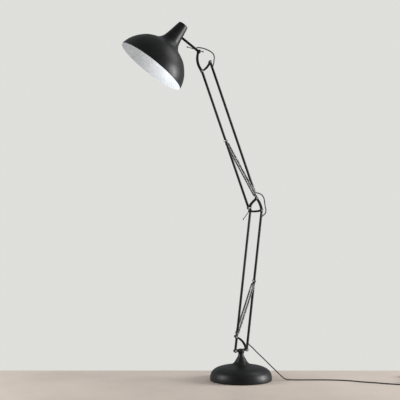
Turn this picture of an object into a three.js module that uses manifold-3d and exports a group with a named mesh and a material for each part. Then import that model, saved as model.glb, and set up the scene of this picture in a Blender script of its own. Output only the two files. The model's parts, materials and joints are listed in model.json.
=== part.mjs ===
// Adjustable-arm floor lamp: a weighted round base with a swivel hub, two sprung parallelogram arms
// joined by a three-cornered elbow bracket, and a bell shade on a tilting rod.
// Millimetres, +Z up. The arms lie in the XZ plane and the shade is on the -X side. The origin is the
// centre of the base's underside. "Near" pieces are on the -Y side and "far" pieces on the +Y side.
import * as THREE from 'three';
import { mergeVertices } from 'three/addons/utils/BufferGeometryUtils.js';
import Module from 'manifold-3d';

const wasm = await Module();
wasm.setup();

// ---------------------------------------------------------------- driving dimensions

const DEG = Math.PI / 180;
const GAP = 0.3; // between pieces that touch

const LOWER_LEAN = 6.3 * DEG; // about +Y, so a positive lean is towards +X
const UPPER_LEAN = -19.3 * DEG;
const SHADE_LEAN = 37.8 * DEG; // the shade's axis, from its mouth to its cap
const LOWER_LENGTH = 680; // pivot to pivot
const UPPER_LENGTH = 697;

const TUBE_RADIUS = 6;
const TUBE_BORE = 5;
const TUBE_END = 6; // the tube beyond its pivot
const COLLAR_RADIUS = 8;
const PLATE_INNER = 6.5; // a bracket plate's inner face, from the arm plane
const PLATE_THICKNESS = 3;
const PLATE_OUTER = PLATE_INNER + PLATE_THICKNESS;
const BAR_WIDTH = 9.4; // the curved bars that the bracket plates are made of
const BOLT_RADIUS = 2.7;
const HOLE_RADIUS = 3.1; // for a bolt
const SPRING_Y = 22; // the springs' distance from the arm plane
const SPRING_RADIUS = 5;
const HOOK_RADIUS = 3.9; // at the middle of the hook's wire
const HOOK_REACH = 13; // from the stud to the first turn of the spring
const WIRE_RADIUS = 1;
const STUD_RADIUS = 2.3;
const STUD_END = 27;
const STUD_HEAD = 4.4;
const CORD_RADIUS = 2.9;
const CORD_HIDDEN = 42; // where the cord is back on the tube's axis

// Pivots, as points (x, z) of the arm plane.
const plane = (x, z) => new THREE.Vector2(x, z);
const along = (from, lean, distance) =>
  plane(from.x + distance * Math.sin(lean), from.y + distance * Math.cos(lean));
const offset = (from, x, z) => plane(from.x + x, from.y + z);

const FOOT_FRONT = plane(-28.5, 142);
const FOOT_REAR = plane(28.5, 147);
const FOOT_SPRING = plane(-25, 211);
const ELBOW_REAR = along(FOOT_REAR, LOWER_LEAN, LOWER_LENGTH);
const ELBOW_FRONT = along(FOOT_FRONT, LOWER_LEAN, LOWER_LENGTH);
const ELBOW_UPPER = offset(ELBOW_REAR, -65.5, 10.3); // the upper front tube
const ELBOW_TOP = offset(ELBOW_REAR, -25, 57); // the upper rear tube and the upper springs
const HEAD_FRONT = along(ELBOW_UPPER, UPPER_LEAN, UPPER_LENGTH);
const HEAD_REAR = along(ELBOW_TOP, UPPER_LEAN, UPPER_LENGTH);
const HEAD_TILT = offset(HEAD_FRONT, -17, 94.7);
const LOWER_ANCHOR_DISTANCE = 335; // up the lower rear tube
const UPPER_ANCHOR_DISTANCE = 344; // up the upper front tube
const LOWER_ANCHOR = along(FOOT_REAR, LOWER_LEAN, LOWER_ANCHOR_DISTANCE);
const UPPER_ANCHOR = along(ELBOW_UPPER, UPPER_LEAN, UPPER_ANCHOR_DISTANCE);

const ROD_RADIUS = 6;
const ROD_BORE = 4.6;
const ROD_REACH = 134; // from the tilt pivot to the shade's axis
const ROD_HEIGHT = 204; // the rod's axis above the shade's mouth

// ---------------------------------------------------------------- materials

const finish = (color, roughness, metalness) => () =>
  new THREE.MeshStandardMaterial({ color, roughness, metalness });
const blackPaint = finish(0x17181a, 0.45, 0.1);
const springSteel = finish(0x8b8d8c, 0.35, 0.9);
const zincSteel = finish(0xa9aaa6, 0.35, 0.9);
const castIron = finish(0x3b3b3d, 0.8, 0.5);
const rubber = finish(0x1b1b1c, 0.85, 0);
const cordSleeve = finish(0x2b2d30, 0.7, 0);
const blackPlastic = finish(0x1c1c1e, 0.5, 0);
const opalGlass = finish(0xf2f1ea, 0.3, 0);

// ---------------------------------------------------------------- solids

function solid(geometry) {
  const bare = geometry.index ? geometry.toNonIndexed() : geometry.clone();
  bare.deleteAttribute('normal');
  bare.deleteAttribute('uv');
  const merged = mergeVertices(bare, 1e-4);
  return new wasm.Manifold(
    new wasm.Mesh({
      numProp: 3,
      vertProperties: new Float32Array(merged.attributes.position.array),
      triVerts: new Uint32Array(merged.index.array),
    }),
  );
}

function geometryOf(body) {
  const mesh = body.getMesh();
  const geometry = new THREE.BufferGeometry();
  geometry.setAttribute('position', new THREE.BufferAttribute(mesh.vertProperties, 3));
  geometry.setIndex(new THREE.BufferAttribute(mesh.triVerts, 1));
  geometry.computeVertexNormals();
  return geometry;
}

const join = (bodies) => bodies.reduce((whole, body) => whole.add(body));
const cut = (body, tools) => tools.reduce((rest, tool) => rest.subtract(tool), body);

// A solid of revolution about +Z, from points [radius, height] that run anticlockwise in section.
function turned(profile, sides) {
  const outline = profile.map(([r, z]) => new THREE.Vector2(r, z));
  return solid(new THREE.LatheGeometry(outline, sides).rotateX(90 * DEG));
}

// The inner outline of a spun sheet: `outer` moved inwards by `wall`, running back the other way.
function innerOutline(outer, wall) {
  const last = outer.length - 1;
  const inner = outer.map(([r, z], k) => {
    const [before, after] = [outer[Math.max(k - 1, 0)], outer[Math.min(k + 1, last)]];
    const run = plane(after[0] - before[0], after[1] - before[1]).normalize();
    return [Math.max(r - run.y * wall, 0), z + run.x * wall];
  });
  inner[0][1] = outer[0][1];
  return inner.reverse();
}

// A round bar from one point of space to another.
function roundBar(from, to, radius, sides = 8) {
  const run = new THREE.Vector3().subVectors(to, from);
  const geometry = new THREE.CylinderGeometry(radius, radius, run.length(), sides);
  geometry.translate(0, run.length() / 2, 0);
  geometry.applyQuaternion(
    new THREE.Quaternion().setFromUnitVectors(new THREE.Vector3(0, 1, 0), run.clone().normalize()),
  );
  return solid(geometry.translate(from.x, from.y, from.z));
}

const inSpace = (point, y) => new THREE.Vector3(point.x, y, point.y);

// A round or hexagonal bar across the arm plane, at a pivot.
const across = (pivot, radius, from, to, sides = 8) =>
  roundBar(inSpace(pivot, from), inSpace(pivot, to), radius, sides);

const smoothCurve = (points) => new THREE.CatmullRomCurve3(points, false, 'centripetal');

// A round section swept along a curve.
function swept(path, radius, sides, steps) {
  const section = new THREE.Shape();
  for (let k = 0; k < sides; k += 1) {
    const angle = (2 * Math.PI * k) / sides;
    section[k ? 'lineTo' : 'moveTo'](radius * Math.cos(angle), radius * Math.sin(angle));
  }
  return solid(new THREE.ExtrudeGeometry(section, { steps, extrudePath: path, bevelEnabled: false }));
}

// The stretch of a curve between two distances along it.
class Stretch extends THREE.Curve {
  constructor(whole, from, to) {
    super();
    this.whole = whole;
    this.from = from / whole.getLength();
    this.to = to / whole.getLength();
  }

  getPoint(t) {
    return this.whole.getPointAt(this.from + (this.to - this.from) * t);
  }
}

// A flat plate from an outline in the arm plane, its thickness along +Y from y = 0.
const slab = (outline, thickness) =>
  solid(
    new THREE.ExtrudeGeometry(outline, { depth: thickness, bevelEnabled: false })
      .rotateX(90 * DEG)
      .translate(0, thickness, 0),
  );

// A curved flat bar of a bracket plate. A positive bow bulges to the left of the way from -> to.
function curvedBar(from, to, bow) {
  const steps = 5;
  const half = BAR_WIDTH / 2;
  const side = plane(from.y - to.y, to.x - from.x).normalize();
  const middle = from.clone().lerp(to, 0.5).addScaledVector(side, 2 * bow);
  const curve = new THREE.QuadraticBezierCurve(from, middle, to);
  const edges = [[], []];
  for (let k = 0; k <= steps; k += 1) {
    const centre = curve.getPoint(k / steps);
    const run = curve.getTangent(k / steps);
    edges[0].push(plane(centre.x - run.y * half, centre.y + run.x * half));
    edges[1].unshift(plane(centre.x + run.y * half, centre.y - run.x * half));
  }
  return slab(new THREE.Shape([...edges[0], ...edges[1]]), PLATE_THICKNESS);
}

// ---------------------------------------------------------------- building the assembly

const lamp = new THREE.Group();

function add(name, body, material, place = {}) {
  const mesh = new THREE.Mesh(geometryOf(body), material());
  mesh.name = name;
  const { at = [0, 0, 0], lean = 0 } = place;
  mesh.position.set(...at);
  mesh.rotation.y = lean;
  lamp.add(mesh);
}

const SIDES = { near: -1, far: 1 };

// ---------------------------------------------------------------- base

function makeBase() {
  const sides = 32;
  const wall = 1.8;
  const outer = [
    [148, 1], [150.5, 7], [149, 24], [142, 41], [128, 54.5], [104, 65], [70, 72.5], [45, 78.5], [33, 88],
    [22.5, 105], [14.5, 120], [12.8, 130.5],
  ];
  const postHole = 5.6;
  const top = outer[outer.length - 1][1];
  const neckFloor = [[postHole, top], [postHole, top - 3], [10.5, top - 3]];
  const inner = innerOutline(outer, wall).slice(1);
  add('base_shell', turned([...outer, ...neckFloor, ...inner, outer[0]], sides), blackPaint);

  add('base_pad', turned([[0, 0], [143, 0], [143, 2.5], [0, 2.5]], sides), rubber);

  const [pocket, pocketTop] = [14, 16]; // for the post's nut
  const weight = [
    [pocket, 2.8], [142, 2.8], [143, 18], [133, 32], [postHole, 32], [postHole, pocketTop],
    [pocket, pocketTop], [pocket, 2.8],
  ];
  add('base_weight', turned(weight, 24), castIron);

  const postRadius = 5;
  add('base_post', turned([[0, 4], [postRadius, 4], [postRadius, 146], [0, 146]], 12), zincSteel);
  const nutBore = postRadius + 0.4;
  const nut = turned([[0, 6], [12, 6], [12, 15.6], [0, 15.6]], 6);
  const nutThread = turned([[0, 5], [nutBore, 5], [nutBore, 17], [0, 17]], 12);
  add('post_nut', nut.subtract(nutThread), zincSteel);
  const washer = [[postHole, 130.8], [12.5, 130.8], [12.5, 132], [postHole, 132], [postHole, 130.8]];
  add('swivel_washer', turned(washer, 16), blackPlastic);
}

// ---------------------------------------------------------------- bracket plates

// A plate is curved bars joined by round bosses at the pivots, with a hole at each pivot.
function plateBody(bars, bosses) {
  const lobes = bosses.map(({ at, radius }) => across(at, radius, 0, PLATE_THICKNESS, 12));
  const holes = bosses.map(({ at }) => across(at, HOLE_RADIUS, -1, PLATE_THICKNESS + 1));
  return cut(join([...bars, ...lobes]), holes);
}

function addPlates(name, bars, bosses, weldNut = {}) {
  for (const [side, sign] of Object.entries(SIDES)) {
    const shift = sign > 0 ? PLATE_INNER : -PLATE_OUTER;
    let body = plateBody(bars, bosses).translate([0, shift, 0]);
    if (weldNut.side === side) {
      const nut = across(weldNut.at, 6.6, sign * (PLATE_OUTER - 0.5), sign * (PLATE_OUTER + 5.5), 6);
      const bore = across(weldNut.at, HOLE_RADIUS + 0.2, sign * PLATE_INNER, sign * (PLATE_OUTER + 6));
      body = body.add(nut).subtract(bore);
    }
    add(`${name}_plate_${side}`, body, blackPaint);
  }
}

// A bolt through both plates, with a washer and a hexagon at each end. Its studs beyond carry springs.
function boltBody(pivot, reach = 0) {
  const end = PLATE_OUTER + GAP;
  const pieces = [across(pivot, BOLT_RADIUS, -(end + 5), end + 5)];
  for (const sign of [-1, 1]) {
    pieces.push(across(pivot, 6.2, sign * end, sign * (end + 1), 10));
    pieces.push(across(pivot, 5.2, sign * (end + 0.8), sign * (end + 4.2), 6));
  }
  if (reach) {
    pieces.push(across(pivot, STUD_RADIUS, -reach, reach));
    for (const sign of [-1, 1]) {
      pieces.push(across(pivot, STUD_HEAD, sign * (reach - 1.8), sign * reach));
    }
  }
  return join(pieces);
}

// ---------------------------------------------------------------- swivel foot

const HUB_BOTTOM = 132.3;
const HUB_TOP = 152;

function makeFoot() {
  const [rim, shoulder] = [16.5, 145];
  const outline = [
    [0, HUB_BOTTOM], [14.5, HUB_BOTTOM], [rim, 136], [rim, shoulder], [12, HUB_TOP], [0, HUB_TOP],
  ];
  const postBore = turned([[0, 131], [5.6, 131], [5.6, 147], [0, 147]], 12);
  // The bracket plates pass through the hub in two slots that are open at the top.
  const slotFloor = 134.2;
  const slots = Object.values(SIDES).map((sign) => {
    const slot = new THREE.BoxGeometry(60, PLATE_THICKNESS + 2 * GAP, 40);
    return solid(slot.translate(0, sign * (PLATE_INNER + PLATE_THICKNESS / 2), slotFloor + 20));
  });
  add('swivel_hub', cut(turned(outline, 16), [...slots, postBore]), blackPaint);

  const links = [
    curvedBar(offset(FOOT_REAR, -3, 0), FOOT_SPRING, -11),
    curvedBar(FOOT_FRONT, FOOT_REAR, 2.2),
  ];
  const bosses = [
    { at: FOOT_SPRING, radius: 7 },
    { at: FOOT_REAR, radius: 7.5 },
    { at: FOOT_FRONT, radius: 8.2 },
  ];
  addPlates('foot', links, bosses);
  add('foot_front_bolt', boltBody(FOOT_FRONT), zincSteel);
  add('foot_rear_bolt', boltBody(FOOT_REAR), zincSteel);
  for (const [side, sign] of Object.entries(SIDES)) {
    add(`foot_spring_stud_${side}`, join([
      across(FOOT_SPRING, STUD_RADIUS, sign * PLATE_INNER, sign * STUD_END),
      across(FOOT_SPRING, 5, sign * (PLATE_OUTER + GAP), sign * (PLATE_OUTER + 3), 6),
      across(FOOT_SPRING, STUD_HEAD, sign * (STUD_END - 1.8), sign * STUD_END),
    ]), zincSteel);
  }
}

// ---------------------------------------------------------------- cord routes

// Points (x, z) of the arm plane between the two places where a cord loop is hidden in a tube. Each loop
// is two solids, one on each side of its point `middle`.
const HEAD_LOOP = [
  [-138.2, 1518], [-134.5, 1531], [-133, 1546], [-131.8, 1560], [-137, 1575], [-150, 1586], [-166, 1594],
  [-184, 1600], [-200, 1603], [-213, 1603.5],
];
const HEAD_LOOP_MIDDLE = 3; // the point at which the loop is split
const ELBOW_LOOP = [
  [76, 908], [87, 904.5], [99, 900], [109, 891], [115.5, 877], [118.4, 858], [121.5, 838], [124.5, 822],
  [122.5, 809.5], [114.5, 800.5], [106.5, 794],
];
const ELBOW_LOOP_MIDDLE = 5;

// Points (x, y, z) of the mains cord from the lower rear tube's slot to the foot switch.
const MAINS_ROUTE = [
  [43.8, -1, 168], [55, -6, 157.5], [73.5, -13, 137.5], [92, -17.5, 119.5], [111, -21, 101],
  [130, -25.5, 81.5], [149, -30, 62.5], [168, -34.5, 43.5], [187, -39, 24.8], [199, -42, 13.6],
  [211, -44.6, 6.2], [226, -48, 3.3], [244, -53, 2.9], [266, -59, 2.9], [298, -64.5, 2.9],
  [334, -70, 2.9], [378, -79, 2.9], [422, -91, 2.9], [466, -107, 2.9], [506, -128, 2.9],
  [540, -158, 2.9], [572, -183, 2.9], [604, -203, 2.9], [636, -229, 2.9], [668, -252, 2.9],
  [696, -271, 2.9], [716, -281.5, 2.9], [735, -282, 2.9], [750, -274, 2.9],
];
const MAINS_STEPS = 64;

// What lies on the floor beyond is placed along and across the foot switch's long axis.
const SWITCH_END = plane(786.6, -195.6); // where the cord leaves the switch
const SWITCH_TURN = 68.3 * DEG;
const SWITCH_LENGTH = 62;
const floorPlace = (along, across) =>
  plane(
    SWITCH_END.x + along * Math.cos(SWITCH_TURN) + across * Math.sin(SWITCH_TURN),
    SWITCH_END.y + along * Math.sin(SWITCH_TURN) - across * Math.cos(SWITCH_TURN),
  );
const onFloor = (along, across, z = CORD_RADIUS) => {
  const spot = floorPlace(along, across);
  return new THREE.Vector3(spot.x, spot.y, z);
};

const COIL_AT = [52, 20]; // along and across
const COIL_MIDDLE = 32; // radius at the middle of the turns
const COIL_WIDTH = 18;
const COIL_HEIGHT = 12;

const hiddenIn = (pivot, lean, towards) =>
  [CORD_HIDDEN, CORD_HIDDEN - 5].map((d) => along(pivot, lean, towards * d));

function cordRoutes() {
  const rodRun = plane(-Math.cos(SHADE_LEAN), Math.sin(SHADE_LEAN));
  const inRod = [21, 28].map((d) => HEAD_TILT.clone().addScaledVector(rodRun, d));
  const loop = (start, points, end) =>
    smoothCurve([...start, ...points.map(([x, z]) => plane(x, z)), ...end].map((p) => inSpace(p, 0)));
  return {
    head: loop(hiddenIn(HEAD_REAR, UPPER_LEAN, -1), HEAD_LOOP, inRod),
    elbow: loop(
      hiddenIn(ELBOW_TOP, UPPER_LEAN, 1), ELBOW_LOOP, hiddenIn(ELBOW_REAR, LOWER_LEAN, -1).reverse(),
    ),
    mains: smoothCurve([
      ...hiddenIn(FOOT_REAR, LOWER_LEAN, 1).map((p) => inSpace(p, 0)),
      ...MAINS_ROUTE.map(([x, y, z]) => new THREE.Vector3(x, y, z)),
      onFloor(-SWITCH_LENGTH - 8, 0),
      onFloor(-SWITCH_LENGTH - GAP, 0),
    ]),
  };
}

const ROUTES = cordRoutes();

// The slot that a cord leaves a tube by is its own path, a little wider, over the first or last stretch.
function slotTool(route, atStart, reach = 36, steps = 6) {
  const length = route.getLength();
  const stretch = atStart ? new Stretch(route, 0, reach) : new Stretch(route, length - reach, length);
  return swept(stretch, CORD_RADIUS + 0.6, 8, steps);
}

// ---------------------------------------------------------------- arm tubes

// A round tube from beyond one pivot to beyond the other, with a bolt hole at each.
function tubeBody(from, to, slots = []) {
  const run = to.clone().sub(from).normalize();
  const end = (pivot, distance) => inSpace(pivot.clone().addScaledVector(run, distance), 0);
  const bar = roundBar(end(from, -TUBE_END), end(to, TUBE_END), TUBE_RADIUS, 12);
  const bore = roundBar(end(from, -TUBE_END - 1), end(to, TUBE_END + 1), TUBE_BORE, 12);
  const holes = [from, to].map((pivot) => across(pivot, HOLE_RADIUS, -9, 9));
  return cut(bar, [bore, ...holes, ...slots]);
}

function makeArms() {
  const mainsSlotSteps = 3;
  const mainsReach = (ROUTES.mains.getLength() * mainsSlotSteps) / MAINS_STEPS;
  const mainsSlot = slotTool(ROUTES.mains, true, mainsReach, mainsSlotSteps);
  const lowerSlots = [mainsSlot, slotTool(ROUTES.elbow, false)];
  const upperSlots = [slotTool(ROUTES.elbow, true), slotTool(ROUTES.head, true)];
  add('lower_front_tube', tubeBody(FOOT_FRONT, ELBOW_FRONT), blackPaint);
  add('lower_rear_tube', tubeBody(FOOT_REAR, ELBOW_REAR, lowerSlots), blackPaint);
  add('upper_front_tube', tubeBody(ELBOW_UPPER, HEAD_FRONT), blackPaint);
  add('upper_rear_tube', tubeBody(ELBOW_TOP, HEAD_REAR, upperSlots), blackPaint);

  const core = (pivot, lean, length) => {
    const end = (distance) => inSpace(along(pivot, lean, distance), 0);
    return roundBar(end(CORD_HIDDEN + GAP), end(length - CORD_HIDDEN - GAP), CORD_RADIUS);
  };
  add('lower_arm_cord', core(FOOT_REAR, LOWER_LEAN, LOWER_LENGTH), cordSleeve);
  add('upper_arm_cord', core(ELBOW_TOP, UPPER_LEAN, UPPER_LENGTH), cordSleeve);

  // Each arm's springs pull on a collar with a stud on each side.
  const collarBore = TUBE_RADIUS + GAP;
  const corners = [[collarBore, -4], [COLLAR_RADIUS, -4], [COLLAR_RADIUS, 4], [collarBore, 4]];
  const ring = [...corners, corners[0]];
  const studs = Object.values(SIDES).flatMap((sign) => [
    across(plane(0, 0), STUD_RADIUS, sign * (COLLAR_RADIUS - 1), sign * STUD_END),
    across(plane(0, 0), STUD_HEAD, sign * (STUD_END - 1.8), sign * STUD_END),
  ]);
  const collar = join([turned(ring, 12), ...studs]);
  const anchored = (pivot, lean) => ({ at: [pivot.x, 0, pivot.y], lean });
  add('lower_spring_collar', collar, zincSteel, anchored(LOWER_ANCHOR, LOWER_LEAN));
  add('upper_spring_collar', collar, zincSteel, anchored(UPPER_ANCHOR, UPPER_LEAN));
}

// ---------------------------------------------------------------- elbow and head brackets

// A clamp screw through a bracket, turned by a bar that slides through the screw's boss. The bar's ends
// are `long` and `short` from the screw's axis.
function addClamp(name, pivot, sign, bar) {
  const bossStart = PLATE_OUTER + GAP;
  const bossEnd = 30;
  const barY = 25;
  const barRadius = 1.7;
  const bead = 3.2;
  const beadLength = 5;
  const run = plane(Math.sin(bar.lean), Math.cos(bar.lean));
  const end = (distance) => inSpace(pivot.clone().addScaledVector(run, distance), sign * barY);
  const alongBar = (radius, from, to) => roundBar(end(from), end(to), radius);
  const screw = join([
    across(pivot, BOLT_RADIUS, -sign * (PLATE_OUTER + 7), sign * (bossStart + 1)),
    across(pivot, 6.8, sign * bossStart, sign * (bossStart + 1.4), 12),
    across(pivot, 5.2, sign * (bossStart + 1), sign * bossEnd, 12),
  ]);
  add(`${name}_clamp_screw`, screw.subtract(alongBar(barRadius + 0.4, -9, 9)), blackPaint);
  add(`${name}_clamp_bar`, join([
    alongBar(barRadius, -bar.short, bar.long),
    alongBar(bead, -bar.short - 1, -bar.short - 1 + beadLength),
    alongBar(bead, bar.long + 1 - beadLength, bar.long + 1),
  ]), blackPaint);
}

function makeElbow() {
  const corner = offset(ELBOW_FRONT, 1.2, 31);
  const bars = [
    curvedBar(ELBOW_TOP, corner, -1.5),
    curvedBar(corner, ELBOW_FRONT, -1.8),
    curvedBar(ELBOW_TOP, ELBOW_REAR, 4),
    curvedBar(ELBOW_FRONT, ELBOW_REAR, -3.6),
  ];
  const bosses = [
    { at: ELBOW_TOP, radius: 7 },
    { at: ELBOW_REAR, radius: 7 },
    { at: ELBOW_FRONT, radius: 7.2 },
    { at: ELBOW_UPPER, radius: 7.2 },
  ];
  addPlates('elbow', bars, bosses, { side: 'near', at: ELBOW_FRONT });
  add('elbow_front_bolt', boltBody(ELBOW_UPPER), zincSteel);
  add('elbow_rear_bolt', boltBody(ELBOW_REAR), zincSteel);
  add('elbow_spring_bolt', boltBody(ELBOW_TOP, STUD_END), zincSteel);
  addClamp('elbow', ELBOW_FRONT, 1, { lean: -144 * DEG, long: 50, short: 12 });
}

function makeHeadBracket() {
  const bars = [curvedBar(HEAD_FRONT, HEAD_TILT, 13), curvedBar(HEAD_FRONT, HEAD_REAR, -6)];
  const bosses = [
    { at: HEAD_TILT, radius: 7.4 },
    { at: HEAD_FRONT, radius: 7 },
    { at: HEAD_REAR, radius: 7 },
  ];
  addPlates('head', bars, bosses, { side: 'far', at: HEAD_TILT });
  add('head_front_bolt', boltBody(HEAD_FRONT), zincSteel);
  add('head_rear_bolt', boltBody(HEAD_REAR), zincSteel);
  addClamp('head', HEAD_TILT, -1, { lean: -75 * DEG, long: 63, short: 20 });
}

// ---------------------------------------------------------------- springs

// An open hook round a stud at `from`, its shank pointing to `to`. Both are points of the arm plane.
function hookBody(from, to, y, reach) {
  const run = to.clone().sub(from).normalize();
  const side = plane(-run.y, run.x);
  const point = (forward, sideways) =>
    inSpace(from.clone().addScaledVector(run, forward).addScaledVector(side, sideways), y);
  const bends = 6;
  const [tip, root] = [-50 * DEG, -300 * DEG]; // the wire's bend round the stud
  const points = [];
  for (let k = 0; k <= bends; k += 1) {
    const angle = tip + ((root - tip) * k) / bends;
    points.push(point(HOOK_RADIUS * Math.cos(angle), HOOK_RADIUS * Math.sin(angle)));
  }
  points.push(point(HOOK_RADIUS * 1.7, 1.6), point(HOOK_REACH - 3, 0), point(reach, 0));
  return swept(smoothCurve(points), WIRE_RADIUS, 5, 13);
}

function addSprings(name, foot, head) {
  const run = head.clone().sub(foot).normalize();
  const coilStart = foot.clone().addScaledVector(run, HOOK_REACH);
  const coilEnd = head.clone().addScaledVector(run, -HOOK_REACH - GAP);
  for (const [side, sign] of Object.entries(SIDES)) {
    const y = sign * SPRING_Y;
    const coil = roundBar(inSpace(coilStart, y), inSpace(coilEnd, y), SPRING_RADIUS, 10);
    add(`${name}_spring_${side}`, coil.add(hookBody(foot, head, y, HOOK_REACH + 2)), springSteel);
    add(`${name}_spring_hook_${side}`, hookBody(head, foot, y, HOOK_REACH), springSteel);
  }
}

// ---------------------------------------------------------------- shade and lampholder

// The head is built along the shade's own axis, its mouth at z = 0, with the rod towards its own +X.
function makeHead() {
  const reach = plane(Math.cos(SHADE_LEAN), -Math.sin(SHADE_LEAN));
  const neck = HEAD_TILT.clone().addScaledVector(reach, -ROD_REACH);
  const mouth = along(neck, SHADE_LEAN, -ROD_HEIGHT);
  const place = { at: [mouth.x, 0, mouth.y], lean: SHADE_LEAN };
  const inPlace = (body) => body.rotate([0, SHADE_LEAN / DEG, 0]).translate([mouth.x, 0, mouth.y]);
  const rodBar = (radius, from, to, sides = 12) =>
    roundBar(new THREE.Vector3(from, 0, ROD_HEIGHT), new THREE.Vector3(to, 0, ROD_HEIGHT), radius, sides);

  const wall = 1.6;
  const outer = [
    [175, 0], [174, 9], [168, 31], [156, 57], [138, 82], [113, 107], [84, 124.5], [62, 136], [46, 156],
    [37, 188], [30, 228], [25.5, 254], [19, 258], [0, 259],
  ];
  const shell = turned([...outer, ...innerOutline(outer, wall), outer[0]], 32);
  add('shade', shell.subtract(rodBar(ROD_RADIUS + GAP, 20, 60, 10)), blackPaint, place);

  const rod = inPlace(rodBar(ROD_RADIUS, -8, ROD_REACH + 11).subtract(rodBar(ROD_BORE, -9, ROD_REACH + 12)));
  const rodCuts = [across(HEAD_TILT, HOLE_RADIUS, -9, 9), slotTool(ROUTES.head, false)];
  add('head_rod', cut(rod, rodCuts), blackPaint);
  add('rod_nut', rodBar(10, 21, 28.5, 6).subtract(rodBar(ROD_RADIUS + GAP, 20, 30, 10)), zincSteel, place);
  add('head_cord', rodBar(CORD_RADIUS, -5, ROD_REACH - 28 - GAP, 8), cordSleeve, place);

  const holderTop = ROD_HEIGHT - ROD_RADIUS - GAP;
  add('lampholder', turned([
    [14.8, 136], [21, 136], [21, 151], [19.5, 152], [19.5, 177], [9, 188], [9, holderTop], [0, holderTop],
    [0, 168], [14.8, 168], [14.8, 136],
  ], 16), blackPlastic, place);
  add('lamp_bulb', turned([
    [0, 58], [13, 60], [24, 68], [29.8, 84], [29, 97], [22.5, 114], [14.4, 132], [13.4, 160], [0, 165],
  ], 16), opalGlass, place);
}

// ---------------------------------------------------------------- cords that the lamp holds

function makeCordLoops() {
  const split = (name, route, middle, steps) => {
    // A loop's own points follow the two hidden in the tube.
    const hidden = 2;
    const turn = route.points[hidden + middle];
    const samples = 400;
    const distances = [];
    for (let k = 0; k <= samples; k += 1) {
      distances.push(route.getPointAt(k / samples).distanceTo(turn));
    }
    const cutAt = (distances.indexOf(Math.min(...distances)) / samples) * route.getLength();
    const first = new Stretch(route, 0, cutAt - GAP / 2);
    const second = new Stretch(route, cutAt + GAP / 2, route.getLength());
    add(name[0], swept(first, CORD_RADIUS, 8, steps[0]), cordSleeve);
    add(name[1], swept(second, CORD_RADIUS, 8, steps[1]), cordSleeve);
  };
  split(['elbow_loop_upper', 'elbow_loop_lower'], ROUTES.elbow, ELBOW_LOOP_MIDDLE, [12, 12]);
  split(['head_loop_arm', 'head_loop_rod'], ROUTES.head, HEAD_LOOP_MIDDLE, [8, 12]);
}

// ---------------------------------------------------------------- mains cord, foot switch and plug

// A closed solid of an outline in the floor plane, from one height up to another.
const block = (outline, bottom, top, curveSegments = 3) =>
  solid(
    new THREE.ExtrudeGeometry(outline, { depth: top - bottom, bevelEnabled: false, curveSegments })
      .translate(0, 0, bottom),
  );

function roundedOutline(length, width, radius) {
  const [x, y] = [length / 2 - radius, width / 2 - radius];
  const corners = [[x, -y, -90], [x, y, 0], [-x, y, 90], [-x, -y, 180]];
  const shape = new THREE.Shape();
  for (const [cx, cy, start] of corners) {
    shape.absarc(cx, cy, radius, start * DEG, (start + 90) * DEG);
  }
  return shape;
}

function makeMainsCord() {
  add('mains_cord', swept(ROUTES.mains, CORD_RADIUS, 8, MAINS_STEPS), cordSleeve);

  const switchPlace = (body) => {
    const middle = floorPlace(-SWITCH_LENGTH / 2, 0);
    return body.rotate([0, 0, SWITCH_TURN / DEG]).translate([middle.x, middle.y, 0]);
  };
  const height = 19;
  const well = block(roundedOutline(17, 17, 8.3), 8, height + 1);
  const housing = block(roundedOutline(SWITCH_LENGTH, 29, 9), 0.1, height).subtract(well);
  add('foot_switch_body', switchPlace(housing), blackPlastic);
  add('foot_switch_button', switchPlace(block(roundedOutline(16, 16, 7.8), 12, height + 3.5)), blackPlastic);

  const toCoil = smoothCurve([onFloor(GAP, 0), onFloor(7, -0.3), onFloor(13.5, -1.6)]);
  add('switch_cord', swept(toCoil, CORD_RADIUS, 8, 2), cordSleeve);

  const [inside, outside] = [COIL_MIDDLE - COIL_WIDTH / 2, COIL_MIDDLE + COIL_WIDTH / 2];
  const ring = [[inside, 0.1], [outside, 0.1], [outside, COIL_HEIGHT], [inside, COIL_HEIGHT], [inside, 0.1]];
  const coilAt = onFloor(...COIL_AT);
  add('cord_coil', turned(ring, 24).translate([coilAt.x, coilAt.y, 0]), cordSleeve);

  const tailAcross = COIL_AT[1] - COIL_MIDDLE - 3.5;
  const plugStart = 104;
  const tail = new THREE.LineCurve3(onFloor(77.4, tailAcross), onFloor(plugStart - GAP, tailAcross));
  add('plug_cord', swept(tail, CORD_RADIUS, 8, 1), cordSleeve);

  // Built pointing up from where the cord enters, then laid along the floor.
  const [bodyStart, bodyEnd] = [14, 46];
  const [pinLength, pinRadius, pinSpacing] = [19, 2, 19];
  const pin = (x) =>
    roundBar(new THREE.Vector3(x, 0, bodyEnd - 1), new THREE.Vector3(x, 0, bodyEnd + pinLength), pinRadius);
  const plug = join([
    block(roundedOutline(34, 14, 4), bodyStart, bodyEnd, 2),
    block(roundedOutline(13, 10, 3), 0, bodyStart + 1, 2),
    pin(-pinSpacing / 2),
    pin(pinSpacing / 2),
  ]);
  const plugAt = onFloor(plugStart, tailAcross, 7.1);
  const laid = plug.rotate([-90, 0, SWITCH_TURN / DEG - 90]);
  add('mains_plug', laid.translate([plugAt.x, plugAt.y, plugAt.z]), blackPlastic);
}

makeBase();
makeFoot();
makeArms();
makeElbow();
makeHeadBracket();
addSprings('lower', FOOT_SPRING, LOWER_ANCHOR);
addSprings('upper', ELBOW_TOP, UPPER_ANCHOR);
makeHead();
makeCordLoops();
makeMainsCord();

export default lamp;
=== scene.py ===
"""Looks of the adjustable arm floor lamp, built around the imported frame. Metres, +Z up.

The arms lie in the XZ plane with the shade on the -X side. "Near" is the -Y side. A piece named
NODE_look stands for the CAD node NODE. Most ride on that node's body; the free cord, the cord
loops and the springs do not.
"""

import json
import math

import bmesh
import bpy
from mathutils import Matrix, Vector
from mathutils.geometry import tessellate_polygon


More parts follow.
